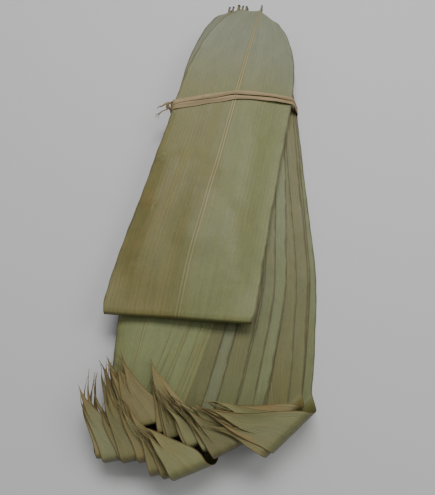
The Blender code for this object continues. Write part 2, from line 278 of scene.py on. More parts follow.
def relax(z):
    """Each height blended with its neighbours', more along the leaf than across it."""
    rows = np.pad(z, ((1, 1), (0, 0)), mode="edge")
    z = 0.5 * z + 0.25 * (rows[:-2] + rows[2:])
    cols = np.pad(z, ((0, 0), (1, 1)), mode="edge")
    return 0.6 * z + 0.2 * (cols[:, :-2] + cols[:, 2:])


# Range of how much narrower the folded end of a leaf gets
ROLLED_UP_MOST = (0.15, 0.52)
ROLLED_UP = {f"long_leaf_{number}": (0.5, 0.6) for number in range(17, 23)}
ROLLED_UP.update({f"long_leaf_{number:02d}": (0.02, 0.22) for number in range(1, 9)})
ROLLED_UP["long_leaf_23"] = (0.02, 0.04)
ROLLED_UP["long_leaf_32"] = (0.10, 0.12)

# How much further the +X margin of a folded end reaches over its neighbours
OVERLAP = {"long_leaf_30": 0.15, "long_leaf_31": 0.25, "long_leaf_32": 0.42}

# How far the folded ends at the -X side belly out
BELLY = {
    "long_leaf_24": 9 * MM,
    "long_leaf_25": 8 * MM,
    "long_leaf_26": 7 * MM,
    "long_leaf_27": 6 * MM,
    "long_leaf_28": 4 * MM,
    "long_leaf_29": 3 * MM,
}

# Leaves whose +X margins lie so close on the next ones that they hardly show
FLUSH = [f"long_leaf_{number:02d}" for number in range(1, 9)]


class Blade:
    """One leaf as a grid of points: rows from the stem end to the tip, columns across."""

    def __init__(self, name, order):
        self.name = name
        self.rolled_up = ROLLED_UP.get(name, ROLLED_UP_MOST)
        self.chance = np.random.default_rng(1000 + order)
        right, left = leaf_edges(name)
        centre = (right + left) / 2
        half = (right - left) / 2
        knots = np.concatenate([[0], np.cumsum(np.linalg.norm(np.diff(centre, axis=0), axis=1))])
        places = [np.zeros(1)]
        self.crease = self.landing = 0
        count = 0
        for i in range(len(knots) - 1):
            in_arc = NEAR_LINES - 1 <= i < NEAR_LINES + ARC_LINES
            spacing = ARC_SPACING if in_arc else ROW_SPACING
            steps = max(1, math.ceil((knots[i + 1] - knots[i]) / spacing))
            steps = min(steps, MOST_ARC_ROWS) if in_arc else steps
            places.append(np.linspace(knots[i], knots[i + 1], steps + 1)[1:])
            count += steps
            if i == NEAR_LINES - 2:
                self.crease = count
            if i == NEAR_LINES + ARC_LINES - 1:
                self.landing = count
        self.u = np.concatenate(places)
        self.length = self.u[-1]
        middle = self.bent(hermite(knots, centre[:, :2], self.u, held=False))
        reach = hermite(knots, half[:, :2], self.u, held=True)
        level = hermite(knots, centre[:, 2:], self.u, held=True)
        self.half = np.linalg.norm(reach, axis=1)
        self.width = 2 * np.max(np.linalg.norm(half[WIDE_LINES, :2], axis=1))
        near_level = level[self.crease, 0]
        far_level = level[self.landing, 0]
        self.climb = (level[:, 0] - near_level) / (far_level - near_level)
        self.folded_over = far_level > near_level
        reach = self.trimmed(reach)
        past = self.u - self.u[self.landing]
        over = OVERLAP.get(name, 0.0) * smoothstep(*OVERLAP_ZONE, past)
        stretch = 1 + over[:, None] * np.maximum(ACROSS, 0)
        self.xy = middle[:, None] + reach[:, None] * (ACROSS * stretch)[..., None]
        self.z = np.repeat(level, len(ACROSS), axis=1)
        self.guide = self.z.copy()

    def trimmed(self, reach):
        """The half widths with an uneven margin, narrower where the folded end rolls up."""
        chance = self.chance
        wobble = sum(
            chance.uniform(0.001, 0.004) * np.sin(self.u / wave + any_phase(chance))
            for wave in MARGIN_WAVES
        )
        past = self.u - self.u[self.landing]
        curl = chance.uniform(*self.rolled_up) * smoothstep(*ROLL_ZONE, past)
        curl = curl + TIP_ROLL * smoothstep(0.7, 1.0, past / past[-1])
        if not self.folded_over:
            curl = TUCKED_ROLL * curl
        return reach * (1 + wobble - curl)[:, None]

    def bent(self, middle):
        """The middle line with a sideways bend towards the tip, and its belly past the fold."""
        past = np.maximum(self.u - self.u[self.landing], 0) / (self.length - self.u[self.landing])
        along = np.gradient(middle, axis=0)
        along /= np.linalg.norm(along, axis=1, keepdims=True)
        side = np.stack([-along[:, 1], along[:, 0]], axis=1)
        bend = self.chance.uniform(-BEND, BEND) * MM
        sway = self.chance.uniform(0.0, SWAY) * MM * np.sin(past * SWAYS + any_phase(self.chance))
        belly = BELLY.get(self.name, 0.0) * smoothstep(0, 0.5, past)
        belly = belly * (1 - smoothstep(0.5, 1.1, past))
        middle = middle - np.stack([belly, 0 * belly], axis=1)
        return middle + side * (bend * past**2.5 + sway * past)[:, None]

    def from_fold(self, rows):
        """How far along the leaf each of these rows is from the nearer end of the fold."""
        u = self.u[rows, None]
        return np.minimum(np.abs(u - self.u[self.crease]), np.abs(u - self.u[self.landing]))

    def thickness(self, rows):
        """Half the thickness at each point of these rows."""
        u = self.u[rows, None]
        from_rib = np.abs(ACROSS)[None] * self.half[rows, None]
        rib = RIB * (1 - 0.8 * u / self.length) * np.exp(-((from_rib / RIB_HALF) ** 2))
        return BLADE / 2 * (1 - 0.35 * np.abs(ACROSS) ** 6) + rib

    def shape(self, rows):
        """Pleats along the blade, slow waves and lifted margins, faded at the crease."""
        chance = self.chance
        u = self.u[rows, None]
        v = ACROSS[None]
        away = self.from_fold(rows)
        free = smoothstep(*RELIEF_ZONE, away) * smoothstep(0, RELIEF_ZONE[1], u)
        wide = self.half[rows, None] / (self.width / 2)
        drift = chance.uniform(-0.6, 0.6) * u / self.length
        pleats = sum(
            chance.uniform(0.5, 1.0) * height * MM
            * np.cos((v + drift) * lobes + any_phase(chance))
            for lobes, height in PLEATS
        )
        groove = -chance.uniform(0.2, 1.1) * MM * np.exp(-((v / GROOVE_HALF) ** 2))
        waves = chance.uniform(0.2, 0.7) * MM * np.sin(u / WAVE_LENGTH + any_phase(chance) + v)
        ripple = (
            np.abs(v) ** 5
            * chance.uniform(0.1, 0.5)
            * MM
            * np.sin(u / RIPPLE_LENGTH + np.sign(v) * RIPPLE_SHIFT + any_phase(chance))
        )
        lifted = np.where(v > 0, chance.uniform(0.3, 1.4), chance.uniform(0.0, 0.8)) * MM
        lifted = lifted * (FLUSH_LIFT if self.name in FLUSH else 1.0)
        flat = (pleats + groove + waves + ripple + lifted * np.abs(v) ** 7) * wide * free
        past = smoothstep(self.u[self.landing] + CURL_START, self.length, u)
        lift = chance.uniform(0.0, 3.0) * MM * past
        rolled = chance.uniform(2.0, 7.0) * MM * np.abs(v) ** 2.5 * past**0.7 * wide * 2
        twist = chance.uniform(-3.0, 3.0) * MM * v * past * wide
        gathered = sum(
            chance.uniform(0.3, 0.9) * MM * np.cos((v + drift) * lobes + any_phase(chance))
            for lobes in GATHERS
        )
        return flat + lift + rolled + twist + gathered * past**0.5 * wide

    def settle(self, pile, rows, sag):
        """Lays these rows on the pile."""
        xy = self.xy[rows]
        thick = self.thickness(rows)
        looked_round = LONG_REACH if self.folded_over else COVER_REACH
        floor = pile.under(xy, looked_round) + CLEAR + thick
        guide = self.guide[rows]
        spare = np.clip(guide - floor, 0, MOST_SAG)
        loose = smoothstep(0, LOOSE, self.from_fold(rows))
        share = (sag + (MARGIN_SAG - sag) * np.abs(ACROSS) ** 2) * loose
        target = guide - spare * share + self.shape(rows)
        z = np.maximum(target, floor)
        for _ in range(ROUNDS):
            soft = relax(z)
            z = np.maximum(floor, soft + PULL * (target - soft))
        self.z[rows] = z

    def join_fold(self):
        """Heights round the fold, between those at its two ends."""
        rows = slice(self.crease + 1, self.landing)
        climb = self.climb[rows, None]
        self.z[rows] = self.z[self.crease] * (1 - climb) + self.z[self.landing] * climb

    def lay_near(self, pile):
        rows = slice(0, self.crease + 1)
        self.settle(pile, rows, NEAR_SAG)
        if self.folded_over:
            shown = rows
        else:
            self.join_fold()
            shown = slice(0, (self.crease + self.landing) // 2)
        pile.add(self.xy[shown], self.z[shown] + self.thickness(shown))

    def lay_far(self, pile):
        rows = slice(self.landing, len(self.u))
        self.settle(pile, rows, FAR_SAG)
        if self.folded_over:
            self.join_fold()
            rows = slice((self.crease + self.landing) // 2, len(self.u))
        pile.add(self.xy[rows], self.z[rows] + self.thickness(rows))

    def split(self):
        """The row where the folded end splits, and each strip's outer columns and last row."""
        chance = self.chance
        rows = len(self.u)
        if not self.folded_over or chance.random() < WHOLE_CHANCE:
            return rows - 1, []
        start = self.landing + int(chance.uniform(0.15, 0.5) * (rows - self.landing))
        cuts = {0, len(ACROSS) - 1}
        cuts.add(int(chance.integers(4, 9)))
        cuts.add(int(chance.integers(16, 21)))
        if chance.random() < TWO_STRIPS_CHANCE:
            cuts.discard(sorted(cuts)[1])
        edges = sorted(cuts)
        strips = []
        for first, last in zip(edges[:-1], edges[1:], strict=True):
            end = rows - 1 - int(chance.uniform(0.0, 0.3) * (rows - start))
            strips.append((first, last, max(end, start + SHORTEST_STRIP)))
        return start, strips

    def tongue(self, middle, first, last, start, end):
        """Points of one strip of the split end, drawn in to a tip of its own."""
        chance = self.chance
        part = middle[start : end + 1, first : last + 1]
        share = np.linspace(0, 1, len(part))[:, None, None]
        centre = part.mean(axis=1, keepdims=True)
        close = np.maximum(1 - share ** chance.uniform(1.3, 2.4), SHARPEST)
        outward = (ACROSS[first] + ACROSS[last]) / 2
        side = part[:, :1] - part[:, -1:]
        side = side / (np.linalg.norm(side, axis=2, keepdims=True) + 1e-9)
        drift = side * (outward * SPREADING + chance.uniform(-2.0, 2.0)) * MM * share**1.6
        rolled = np.linspace(-1, 1, last - first + 1)[None, :] ** 2 * share[..., 0] ** 0.7
        points = centre + (part - centre) * close + drift
        height = rolled * close[..., 0] * chance.uniform(0.4, 2.2) * MM
        height = height + chance.uniform(0.0, 1.6) * MM * share[..., 0] ** 1.5
        points[..., 2] += height
        return points

    def build(self):
        middle = np.concatenate([self.xy, self.z[..., None]], axis=2)
        thick = self.thickness(slice(None))
        first_row, strips = self.split()
        flip = facing_down(middle[: self.crease])
        v = np.broadcast_to(ACROSS, thick.shape)
        u = np.broadcast_to(self.u[:, None], thick.shape)
        margin = (1 - np.abs(v)) * self.half[:, None] / MM
        sheets = [[a[: first_row + 1] for a in (middle, thick, u, v, margin)]]
        for first, last, end in strips:
            rows = slice(first_row - 1, end + 1)
            cols = slice(first, last + 1)
            points = self.tongue(middle, first, last, first_row - 1, end)
            wide = np.linalg.norm(points[:, :1] - points, axis=2)
            own_margin = np.minimum(wide, np.linalg.norm(points[:, -1:] - points, axis=2)) / MM
            fading = np.clip((np.arange(len(points)) - 1) / FADE_ROWS, 0, 1)[:, None]
            own_margin = margin[rows, cols] * (1 - fading) + own_margin * fading
            cut_out = [values[rows, cols] for values in (u, v)]
            sheets.append([points, thick[rows, cols] * THINNER, *cut_out, own_margin])
        sides = []
        for points, half_thick, *_ in sheets:
            normal = np.cross(np.gradient(points, axis=0), np.gradient(points, axis=1))
            normal /= np.linalg.norm(normal, axis=2, keepdims=True) + 1e-12
            offset = normal * half_thick[..., None] * flip
            sides.append((points + offset, points - offset))
        piece = closed_sheets(self.name + "_sheet", sides)

        def spread(values):
            return np.concatenate([np.tile(np.ravel(value), 2) for value in values])

        u, v, margin = (spread([sheet[k] for sheet in sheets]) for k in (2, 3, 4))
        under = [np.repeat([0.0, 1.0], sheet[2].size) for sheet in sheets]
        put_uv(piece, v * self.width / 2, u)
        put_value(piece, "margin", margin)
        put_value(piece, "along", u / self.length)
        put_value(piece, "across", v)
        put_value(piece, "stem", u / MM)
        put_value(piece, "past", (u - self.u[self.crease]) / MM)
        put_value(piece, "round_fold", np.interp(u, self.u[[self.crease, self.landing]], [0, 1]))
        put_value(piece, "underside", np.concatenate(under))
        return piece


def facing_down(points):
    """-1 where the grid's own normals point down, else 1."""
    normal = np.cross(np.gradient(points, axis=0), np.gradient(points, axis=1))
    return -1.0 if normal[..., 2].mean() < 0 else 1.0


def closed_sheets(name, sides):
    """A mesh of closed thin sheets, each between two grids of points."""
    points = []
    faces = []
    start = 0
    for upper, lower in sides:
        rows, cols = upper.shape[:2]
        index = np.arange(rows * cols).reshape(rows, cols)
        a = index[:-1, :-1].ravel()
        b = index[1:, :-1].ravel()
        c = index[1:, 1:].ravel()
        d = index[:-1, 1:].ravel()
        other = rows * cols
        rim = np.concatenate([index[:-1, 0], index[-1, :-1], index[:0:-1, -1], index[0, :0:-1]])
        following = np.roll(rim, -1)
        made = np.concatenate(
            [
                np.stack([a, b, c, d], axis=1),
                np.stack([d, c, b, a], axis=1) + other,
                np.stack([following, rim, rim + other, following + other], axis=1),
            ]
        )
        points += [upper.reshape(-1, 3), lower.reshape(-1, 3)]
        faces.append(made + start)
        start += 2 * other
    mesh = bpy.data.meshes.new(name)
    mesh.from_pydata(np.concatenate(points).tolist(), [], np.concatenate(faces).tolist())
    piece = bpy.data.objects.new(name, mesh)
    bpy.context.scene.collection.objects.link(piece)
    bm = bmesh.new()
    bm.from_mesh(mesh)
    if bm.calc_volume(signed=True) < 0:
        bmesh.ops.reverse_faces(bm, faces=bm.faces)
    bm.to_mesh(mesh)
    bm.free()
    mesh.shade_smooth()
    mesh.set_sharp_from_angle(angle=math.radians(50))
    return piece


def put_uv(piece, x, y):
    mesh = piece.data
    loops = np.empty(len(mesh.loops), dtype=np.int32)
    mesh.loops.foreach_get("vertex_index", loops)
    layer = mesh.uv_layers.new(name="blade")
    layer.data.foreach_set("uv", np.stack([x, y], axis=1)[loops].ravel().astype(np.float32))


def put_value(piece, name, values):
    attribute = piece.data.attributes.new(name, "FLOAT", "POINT")
    attribute.data.foreach_set("value", np.asarray(values, dtype=np.float32))


def outline(points):
    """Convex outline of points in a plane, counterclockwise."""
    points = sorted(map(tuple, points))

    def chain(run):
        found = []
        for point in run:
            while len(found) > 1:
                first = np.subtract(found[-1], found[-2])
                second = np.subtract(point, found[-1])
                if first[0] * second[1] - first[1] * second[0] > 0:
                    break
                found.pop()
            found.append(point)
        return found[:-1]

    return np.array(chain(points) + chain(points[::-1]))


def even_loop(corners):
    """A closed polygon as evenly spaced points, with its corners rounded off."""
    closed = np.vstack([corners, corners[:1]])
    run = np.concatenate([[0], np.cumsum(np.linalg.norm(np.diff(closed, axis=0), axis=1))])
    at = np.arange(0, run[-1], LOOP_STEP)
    loop = np.stack([np.interp(at, run, closed[:, k]) for k in (0, 1)], axis=1)
    for _ in range(LOOP_BLUR):
        loop = 0.5 * loop + 0.25 * (np.roll(loop, 1, axis=0) + np.roll(loop, -1, axis=0))
    return loop


def tie_lines():
    """Middle points of the tie's sections in the frame, from its first end on."""

    def first_four(verts):
        corner = min(verts, key=lambda v: v.co.y)
        return [
            v
            for v in verts
            if abs(v.co.z - corner.co.z) < WELD
            and abs(v.co.x - corner.co.x) < TIE_THICK
            and v.co.y - corner.co.y < TIE_WIDE
        ]

    return np.array([ring.mean(axis=0) for ring in rings("tie_strip", first_four)])


def straw_path(blades):
    """The wound strip's middle line, taut round the leaves, with its outward normals."""
    centres = tie_lines()
    low_y = centres[:, 1].min() - STRAW_ZONE
    high_y = centres[:, 1].max() + STRAW_ZONE
    held = []
    for blade in blades:
        thick = blade.thickness(slice(None))
        inside = (blade.xy[..., 1] > low_y) & (blade.xy[..., 1] < high_y)
        for sign in (1, -1):
            held.append(np.stack([blade.xy[..., 0], blade.z + sign * thick], axis=2)[inside])
    loop = even_loop(outline(np.vstack(held)))
    tangent = np.roll(loop, -1, axis=0) - np.roll(loop, 1, axis=0)
    tangent /= np.linalg.norm(tangent, axis=1, keepdims=True)
    normal = np.stack([tangent[:, 1], -tangent[:, 0]], axis=1)
    loop = loop + normal * (STRAW_UNDER + STRAW_GAP)
    middle = loop.mean(axis=0)
    round_loop = np.arctan2(loop[:, 1] - middle[1], loop[:, 0] - middle[0])
    order = np.argsort(round_loop)

    turned = np.unwrap(np.arctan2(centres[:, 2] - middle[1], centres[:, 0] - middle[0]))
    low_to_high = np.argsort(turned)
    at, y = turned[low_to_high], centres[low_to_high, 1]
    first_turn = turned > turned[0] - FULL_TURN
    other = np.where(first_turn, turned - FULL_TURN, turned + FULL_TURN)
    y_other = np.interp(other, at, y)
    y_pulled = centres[:, 1] + STRANDS_CLOSER * (y_other - centres[:, 1])
    share = (centres[:, 0] - centres[:, 0].min()) / np.ptp(centres[:, 0])
    y_pulled += SIDE_RISE * smoothstep(*SIDE_ZONE, share)

    places = np.linspace(0, len(centres) - 1.0, STRAW_ROWS)
    index = np.arange(float(len(centres)))
    flat = hermite(index, np.stack([turned, y_pulled], axis=1), places, held=True)
    wrapped = (flat[:, 0] + math.pi) % FULL_TURN - math.pi
    found = [
        np.interp(wrapped, round_loop[order], column[order], period=FULL_TURN)
        for column in (loop[:, 0], loop[:, 1], normal[:, 0], normal[:, 1])
    ]
    points = np.stack([found[0], flat[:, 1], found[1]], axis=1)
    normals = np.stack([found[2], np.zeros(len(points)), found[3]], axis=1)
    return points, normals


def strip_along(name, points, normals, half, crown, under, seed):
    """A ribbed flat strip along a path; half, its half width, may vary along it."""
    chance = np.random.default_rng(seed)
    along = np.gradient(points, axis=0)
    along /= np.linalg.norm(along, axis=1, keepdims=True)
    normals = normals - along * np.sum(normals * along, axis=1, keepdims=True)
    normals /= np.linalg.norm(normals, axis=1, keepdims=True)
    wide = np.cross(along, normals)
    run = np.concatenate([[0], np.cumsum(np.linalg.norm(np.diff(points, axis=0), axis=1))])
    half = np.broadcast_to(half, len(points)).copy()
    for wave in STRAW_WAVES:
        half *= 1 + chance.uniform(0.03, 0.09) * np.sin(run / wave + any_phase(chance))
    tilt = chance.uniform(0.10, 0.22) * np.sin(run / TILT_LENGTH + any_phase(chance))
    share = np.linspace(-1, 1, STRAW_COLUMNS)[None]
    drift = run[:, None] * RIB_DRIFT
    ribs = sum(
        chance.uniform(0.03, 0.08) * MM * np.cos(share * lobes + any_phase(chance) + drift)
        for lobes in STRAW_RIBS
    )
    cover = np.sqrt(np.maximum(1 - np.abs(share) ** 3, 0.0))
    slope = share * half[:, None] * tilt[:, None]
    upper = crown * cover + ribs * cover + slope
    lower = -under * cover + slope
    place = points[:, None] + wide[:, None] * (share * half[:, None])[..., None]
    outer = place + normals[:, None] * (upper + SKIN)[..., None]
    inner = place + normals[:, None] * (lower - SKIN)[..., None]
    piece = closed_sheets(name, [(outer, inner)])
    shape = np.broadcast_to(share * half[:, None], upper.shape).ravel()
    length = np.broadcast_to(run[:, None], upper.shape).ravel()
    put_uv(piece, np.tile(shape, 2), np.tile(length, 2))
    put_value(piece, "edge", np.tile(np.broadcast_to(np.abs(share), upper.shape).ravel(), 2))
    return piece


def smooth_run(corners, step):
    """Points along a smooth curve through the corners."""
    corners = np.array(corners, dtype=float)
    knots = np.concatenate([[0], np.cumsum(np.linalg.norm(np.diff(corners, axis=0), axis=1))])
    return hermite(knots, corners, np.linspace(0, knots[-1], int(knots[-1] / step)), held=False)


# The knot's course in millimetres: away from the bundle, along it, and outwards
KNOT = (
    (-1.5, 6.5, -1.2),
    (0.6, 4.2, 0.5),
    (2.2, 1.0, 1.7),
    (1.4, -2.4, 1.0),
    (-0.6, -3.0, -0.8),
    (-1.8, -0.6, -1.4),
    (-0.4, 2.2, 0.2),
    (2.0, 2.0, 2.4),
    (3.6, -0.4, 1.6),
    (3.0, -3.0, 0.2),
)
TAILS = (
    ((3.0, -3.0, 0.2), (5.2, -4.4, 0.6), (8.0, -4.8, -0.6), (11.0, -7.0, -1.8)),
    ((0.6, 4.0, 0.6), (3.2, 3.0, 1.4), (6.2, 1.2, 1.2), (8.8, 0.6, -0.4), (10.2, 1.4, -1.6)),
)


KNOT_PLACE = np.array([-0.4, 1.2, 2.6]) * MM    # from the strip's outermost point
KNOT_CORE = np.array([0.0, 0.0, -2.0]) * MM     # from there, what the knot faces away from
AWAY = np.array([-1.0, 1.0, 1.0])               # turns a course towards -X
KNOT_STEP = 0.35 * MM
KNOT_HALF = 1.25            # half width in millimetres
TAIL_TAPER = 0.55           # how much of it a tail loses

# Fibres at the end of a tail, as (turn to the side, length in millimetres)
FIBRES = ((-0.5, 4.2), (0.12, 5.4), (0.6, 3.4))
FIBRE_STEP = 0.4 * MM
DROOP = np.array([0, 0, 0.25])


def make_knot(points):
    """The knot and its two frayed tails, at the -X side of the lower strand."""
    first_turn = points[: len(points) // 2]
    side = int(np.argmin(first_turn[:, 0]))
    origin = first_turn[side] + KNOT_PLACE

    def placed(course):
        return origin + np.array(course) * MM * AWAY

    made = []
    course = smooth_run(placed(KNOT), KNOT_STEP)
    facing = course - origin - KNOT_CORE
    half = KNOT_HALF * MM
    made.append(strip_along("straw_knot", course, facing, half, 0.42 * MM, 0.25 * MM, 51))
    for k, corners in enumerate(TAILS):
        course = smooth_run(placed(corners), KNOT_STEP)
        facing = np.tile([0.1, 0.2, 1.0], (len(course), 1))
        half = (KNOT_HALF - TAIL_TAPER * np.linspace(0, 1, len(course))) * MM
        name = f"straw_tail_{k + 1}"
        made.append(strip_along(name, course, facing, half, 0.3 * MM, 0.2 * MM, 53 + k))
        for j, (turn, length) in enumerate(FIBRES):
            fibre, half = fibre_at_end(course, turn, length)
            facing = np.tile([0.0, 0.1, 1.0], (len(fibre), 1))
            name = f"straw_fibre_{k + 1}_{j + 1}"
            made.append(strip_along(name, fibre, facing, half, 0.15 * MM, 0.1 * MM, 60 + j))
    return made


def fibre_at_end(course, turn, length):
    """Middle line and half widths of a fibre that frays from the end of a tail."""
    heading = course[-1] - course[-3]
    heading = heading / np.linalg.norm(heading)
    across = np.cross(heading, [0, 0, 1.0])
    start = course[-4] + across * turn * 0.8 * MM
    middle = start + (heading + across * turn * 0.6) * length * 0.55 * MM
    end = start + (heading + across * turn * 1.1 - DROOP) * length * MM
    fibre = smooth_run([start, middle, end], FIBRE_STEP)
    return fibre, (0.30 - 0.18 * np.linspace(0, 1, len(fibre))) * MM


class Shader:
    """Short calls for building a material's nodes."""

    def __init__(self, name):
        self.material = bpy.data.materials.new(name)
        self.material.use_nodes = True
        self.nodes = self.material.node_tree.nodes
        self.links = self.material.node_tree.links
        self.surface = self.nodes["Principled BSDF"]

    def node(self, kind, inputs=(), **settings):
        made = self.nodes.new(kind)
        for key, value in settings.items():
            setattr(made, key, value)
        for key, value in dict(inputs).items():
            if isinstance(value, bpy.types.NodeSocket):
                self.links.new(value, made.inputs[key])
            else:
                made.inputs[key].default_value = value
        return made

    def math(self, operation, a, b=0.0):
        return self.node("ShaderNodeMath", {0: a, 1: b}, operation=operation).outputs[0]

    def plus(self, a, b):
        return self.math("ADD", a, b)

    def times(self, a, b):
        return self.math("MULTIPLY", a, b)

    def minus(self, a, b):
        return self.math("SUBTRACT", a, b)

    def lines(self, place, spacing):
        """A wave across the blade."""
        return self.math("SINE", self.times(place, FULL_TURN / spacing))

    def value(self, name):
        return self.node("ShaderNodeAttribute", attribute_name=name).outputs["Fac"]

    def spread(self, low, high, value, to_low=0.0, to_high=1.0):
        """value eased from to_low, at low, to to_high, at high."""
        inputs = {"From Min": low, "From Max": high, "To Min": to_low, "To Max": to_high}
        inputs["Value"] = value
        made = self.node("ShaderNodeMapRange", inputs, interpolation_type="SMOOTHSTEP")
        return made.outputs["Result"]

    def blend(self, factor, a, b, mode="MIX"):
        made = self.node("ShaderNodeMix", data_type="RGBA", blend_type=mode)
        for socket, value in ((made.inputs[0], factor), (made.inputs[6], a), (made.inputs[7], b)):
            if isinstance(value, bpy.types.NodeSocket):
                self.links.new(value, socket)
            else:
                socket.default_value = value
        return made.outputs[2]

    def noise(self, uv, across, along, shift, detail=3.0, roughness=0.55):
        """Noise that changes so fast across and along the blade."""
        place = self.node(
            "ShaderNodeMapping",
            {"Vector": uv, "Scale": (across, along, 1.0), "Location": (shift, shift * 1.7, shift)},
        ).outputs[0]
        return self.node(
            "ShaderNodeTexNoise",
            {"Vector": place, "Scale": 1.0, "Detail": detail, "Roughness": roughness},
        ).outputs["Fac"]

    def finish(self, colour, rough, specular, height, strength, depth):
        self.links.new(colour, self.surface.inputs["Base Color"])
        self.links.new(rough, self.surface.inputs["Roughness"])
        self.surface.inputs["Specular IOR Level"].default_value = specular
        bump = self.node(
            "ShaderNodeBump", {"Strength": strength, "Distance": depth, "Height": height}
        )
        self.links.new(bump.outputs[0], self.surface.inputs["Normal"])
        return self.material


def srgb(r, g, b):
    """Linear colour with alpha, from 8-bit display values."""
    values = [c / 255 for c in (r, g, b)]
    return (*[c / 12.92 if c <= 0.04045 else ((c + 0.055) / 1.055) ** 2.4 for c in values], 1.0)


UNDERSIDE = srgb(128, 130, 108)
STEM_END = srgb(121, 123, 110)
RIB_LINE = srgb(150, 134, 88)
# Painted shade along and beside the midrib
RIB_GROOVE_SHADE = srgb(84, 86, 54)
# Browned margin with painted shadow of the gap below it
DARK_MARGIN_AND_GAP_SHADE = srgb(74, 66, 40)
TAN_MARGIN = srgb(130, 113, 68)
# Painted shadow between overlapping blades
PAINTED_GAP_SHADOW = srgb(58, 50, 30)
TIP = srgb(124, 108, 62)
RUST = srgb(138, 98, 50)
STALK = srgb(122, 106, 74)
CUT = srgb(38, 30, 22)

# In metres across the blade
VEINS = 0.0031
FINE_VEINS = 0.00062
RIB_LINES_AT = 0.0011       # from the middle
RIB_GROOVES_AT = 0.0022

FOLD_STRETCH = (-4, 12)     # millimetres past the fold, where the colours change over


def leaf_fields(s, seed):
    """The places and noises that a leaf's colours are made from."""
    uv = s.node("ShaderNodeUVMap", uv_map="blade").outputs[0]
    attributes = ("margin", "along", "across", "stem", "past", "round_fold", "underside")
    f = SimpleNamespace(**{name: s.value(name) for name in attributes})
    f.vein_place = s.node("ShaderNodeSeparateXYZ", {0: uv}).outputs[0]
    f.wide_streaks = s.noise(uv, 70, 4, seed, 3.0)
    f.fine_streaks = s.noise(uv, 520, 12, seed + 3, 4.0, 0.65)
    f.patches = s.noise(uv, 24, 11, seed + 7, 4.0)
    f.blotches = s.noise(uv, 90, 55, seed + 9, 4.0, 0.6)
    f.specks = s.noise(uv, 900, 380, seed + 11, 2.0)
    f.folded = s.spread(*FOLD_STRETCH, f.past)
    veins = s.spread(0.4, 1.0, s.lines(f.vein_place, VEINS))
    f.veins = s.times(veins, s.spread(0.3, 0.75, f.wide_streaks))
    return f


def patchy(s, f, near_colours, far_colours, brownness, lean):
    """Green turning brown in patches, paler below and greyer towards the stem."""
    tone = s.plus(s.times(f.patches, 1.0), s.times(f.wide_streaks, 0.45))
    tone = s.plus(tone, s.times(f.blotches, 0.35))
    leaning = s.times(s.spread(0.25, -0.25, f.across), s.spread(85, 185, f.stem))
    tone = s.plus(tone, s.times(leaning, lean))
    tone = s.plus(tone, s.times(f.folded, brownness[1] - brownness[0]))
    tone = s.spread(-0.35, 0.45, s.plus(tone, brownness[0] - 0.9))
    pairs = zip(near_colours, far_colours, strict=True)
    green, brown = (s.blend(f.folded, *pair) for pair in pairs)
    colour = s.blend(tone, green, brown)
    pale = s.blend(0.4, colour, UNDERSIDE)
    colour = s.blend(s.times(f.underside, 0.35), colour, pale)
    greyed = s.times(s.spread(140, 50, f.stem), 0.62)
    return s.blend(greyed, colour, STEM_END)


def streaked(s, f, colour, shade):
    """Lighter and darker streaks, spots and veins, a shade before and past the fold, and a fold
    darkened by a bruise and by painted shade.
    """
    light = s.spread(0.3, 0.72, f.fine_streaks, 0.92, 1.07)
    light = s.times(light, s.spread(0.25, 0.75, f.wide_streaks, 0.94, 1.04))
    light = s.times(light, s.spread(0.2, 0.8, f.blotches, 0.91, 1.08))
    light = s.times(light, s.spread(*FOLD_STRETCH, f.past, *shade))
    # Painted shade where the fold rolls under, partly also a darker bruise line at the crease
    from_fold = s.math("ABSOLUTE", s.minus(f.round_fold, 0.6))
    fold_bruise_and_shade = s.plus(from_fold, s.times(f.blotches, 0.2))
    light = s.times(light, s.spread(0.5, 0.2, fold_bruise_and_shade, 1.0, 0.7))
    light = s.times(light, s.minus(1.0, s.times(f.veins, 0.05)))
    light = s.times(light, s.spread(0.2, 0.8, f.specks, 0.94, 1.05))
    lit = s.node("ShaderNodeCombineColor", {0: light, 1: light, 2: light}).outputs[0]
    return s.blend(1.0, colour, lit, mode="MULTIPLY")


def ribbed(s, f, colour):
    """The midrib: two pale lines, with painted shade as a dark groove between them and on each
    side.
    """
    from_rib = s.math("ABSOLUTE", f.vein_place)
    from_line = s.math("ABSOLUTE", s.minus(from_rib, RIB_LINES_AT))
    line = s.spread(0.0007, 0.0002, from_line)
    fade = s.spread(0.95, 0.2, f.along, 0.15, 0.9)
    colour = s.blend(s.times(line, fade), colour, RIB_LINE)
    # Painted shade down the middle of the rib and in the grooves on each side
    core_shade = s.times(s.spread(0.0009, 0.0002, from_rib), 0.5)
    from_groove = s.math("ABSOLUTE", s.minus(from_rib, RIB_GROOVES_AT))
    fade = s.spread(0.8, 0.2, f.along, 0.1, 0.45)
    flank_shade = s.times(s.spread(0.0008, 0.0001, from_groove), fade)
    return s.blend(s.math("MAXIMUM", core_shade, flank_shade), colour, RIB_GROOVE_SHADE)


def at_margin(s, f):
    """1 at a margin and 0 within, with a ragged line between."""
    ragged = s.plus(f.margin, s.times(s.minus(f.fine_streaks, 0.5), 1.6))
    ragged = s.plus(ragged, s.times(s.minus(f.blotches, 0.5), 3.5))
    return s.spread(1.9, 0.3, ragged)


def edged(s, f, colour, edge, darkness):
    """Dark margins before the fold, browned and painted with the shadow of the gap below; tan ones
    past it with a painted shadow line at the brink.
    """
    # Margin colour: browning together with painted shadow of the gap at each leaf's edge
    margin_and_gap_shade = s.blend(f.folded, DARK_MARGIN_AND_GAP_SHADE, TAN_MARGIN)
    strength = s.spread(-0.1, 0.1, f.across, 0.62, darkness)
    strength = s.math("MAXIMUM", strength, s.times(f.folded, 0.62))
    colour = s.blend(s.times(edge, strength), colour, margin_and_gap_shade)
    # Painted shadow line along the very edge of each folded end, where blades overlap
    gap_shadow = s.times(s.spread(0.75, 0.25, f.margin), s.times(f.folded, 0.75))
    return s.blend(gap_shadow, colour, PAINTED_GAP_SHADOW)


